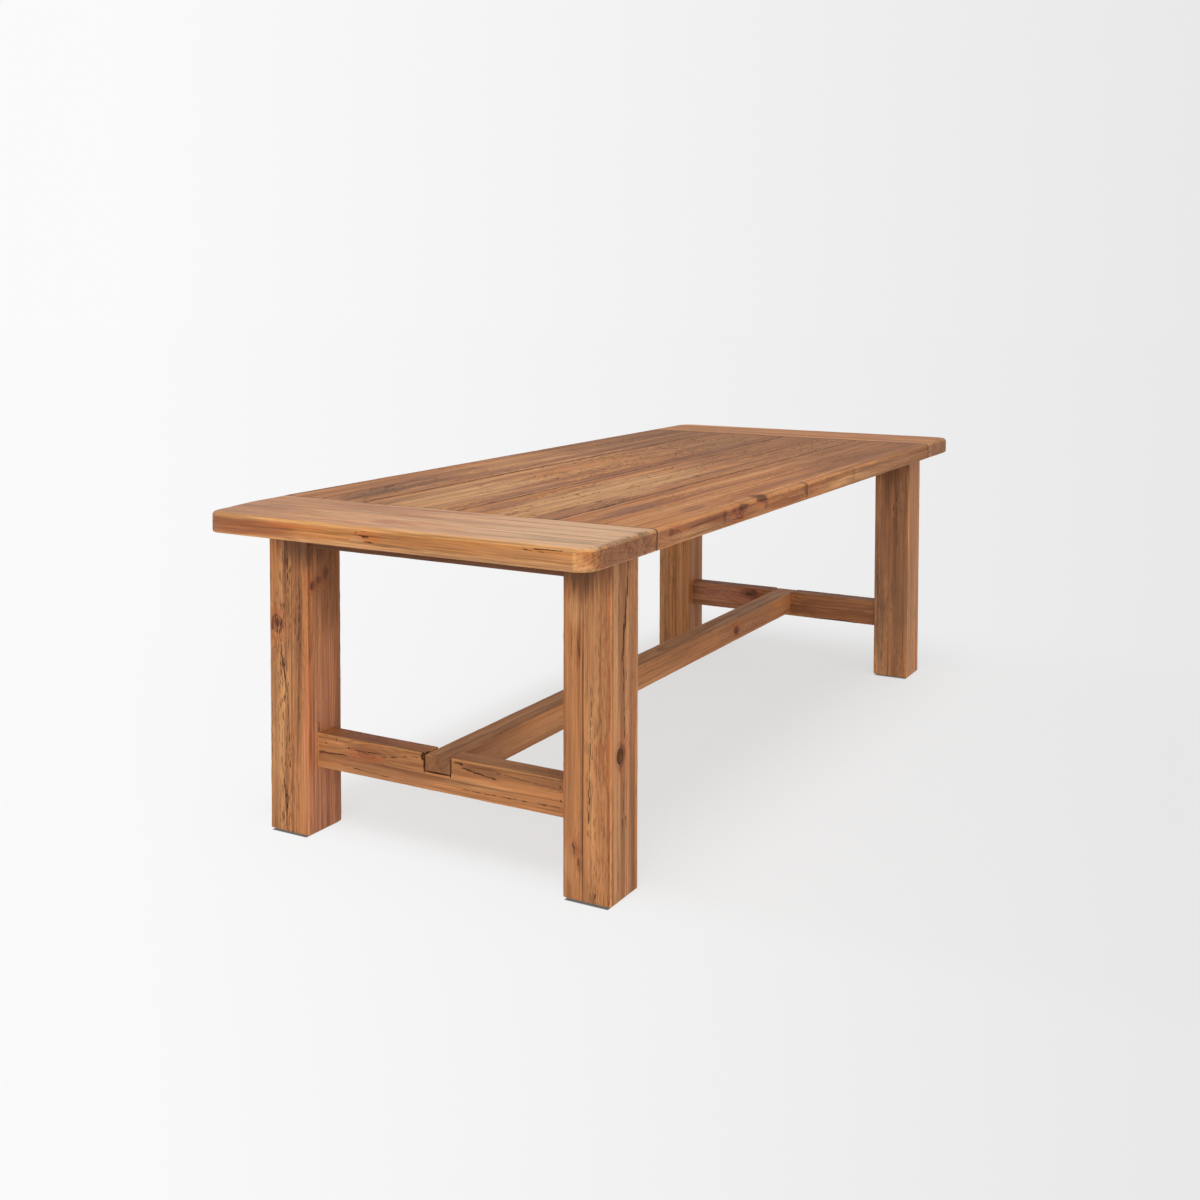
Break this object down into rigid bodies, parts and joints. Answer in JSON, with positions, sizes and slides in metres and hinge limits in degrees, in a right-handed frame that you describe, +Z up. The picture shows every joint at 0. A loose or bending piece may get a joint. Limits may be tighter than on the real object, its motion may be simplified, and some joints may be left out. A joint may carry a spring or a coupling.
{
  "type": "trestle dining table",
  "caption": "Long dining table of reclaimed pine: plank top with end boards, square glued-up legs, low end stretchers and a long stretcher lapped into them.",
  "frame": {"origin": "on the floor, under the middle of the top", "axes": "+X along the table from the near end to the far end, +Y to the left side seen from the near end, +Z up"},
  "size_m": [2.4, 1, 0.76],
  "materials": {
    "aprons": "waxed",
    "black_screws": "satin",
    "brass_inserts": "turned",
    "end_board_far": "waxed",
    "end_board_near": "waxed",
    "end_stretchers": "waxed",
    "hardwood_pins": "sawn",
    "hidden_pine": "sawn",
    "leg_inner_staves": "waxed",
    "leg_outer_staves": "waxed",
    "long_stretcher": "waxed",
    "plank_left_inner": "waxed",
    "plank_left_outer": "waxed",
    "plank_right_inner": "waxed",
    "plank_right_outer": "waxed",
    "plastic_glides": "matte",
    "plywood_splines": "sawn",
    "zinc_fasteners": "zinc plated"
  },
  "bodies": {
    "root": {"apron_bolts_far": "zinc_fasteners", "apron_bolts_near": "zinc_fasteners", "apron_far": "aprons", "apron_near": "aprons", "apron_washers_far": "zinc_fasteners", "apron_washers_near": "zinc_fasteners", "batten_far": "hidden_pine", "batten_middle": "hidden_pine", "batten_near": "hidden_pine", "batten_screws_far": "black_screws", "batten_screws_middle": "black_screws", "batten_screws_near": "black_screws", "bearer_left": "hidden_pine", "bearer_right": "hidden_pine", "bearer_screws_left": "black_screws", "bearer_screws_right": "black_screws", "coach_screw_far": "zinc_fasteners", "coach_screw_near": "zinc_fasteners", "coach_washer_far": "zinc_fasteners", "coach_washer_near": "zinc_fasteners", "end_board_far": "end_board_far", "end_board_near": "end_board_near", "end_stretcher_far": "end_stretchers", "end_stretcher_near": "end_stretchers", "foot_glide_far_left": "plastic_glides", "foot_glide_far_right": "plastic_glides", "foot_glide_near_left": "plastic_glides", "foot_glide_near_right": "plastic_glides", "leg_dowels_far_left": "hardwood_pins", "leg_dowels_far_right": "hardwood_pins", "leg_dowels_near_left": "hardwood_pins", "leg_dowels_near_right": "hardwood_pins", "leg_far_left_inner_stave": "leg_inner_staves", "leg_far_left_outer_stave": "leg_outer_staves", "leg_far_right_inner_stave": "leg_inner_staves", "leg_far_right_outer_stave": "leg_outer_staves", "leg_near_left_inner_stave": "leg_inner_staves", "leg_near_left_outer_stave": "leg_outer_staves", "leg_near_right_inner_stave": "leg_inner_staves", "leg_near_right_outer_stave": "leg_outer_staves", "long_stretcher": "long_stretcher", "plank_left_inner": "plank_left_inner", "plank_left_outer": "plank_left_outer", "plank_right_inner": "plank_right_inner", "plank_right_outer": "plank_right_outer", "spline_left": "plywood_splines", "spline_middle": "plywood_splines", "spline_right": "plywood_splines", "threaded_inserts_far": "brass_inserts", "threaded_inserts_near": "brass_inserts", "tongue_pegs_far": "hardwood_pins", "tongue_pegs_near": "hardwood_pins"}
  },
  "joints": []
}
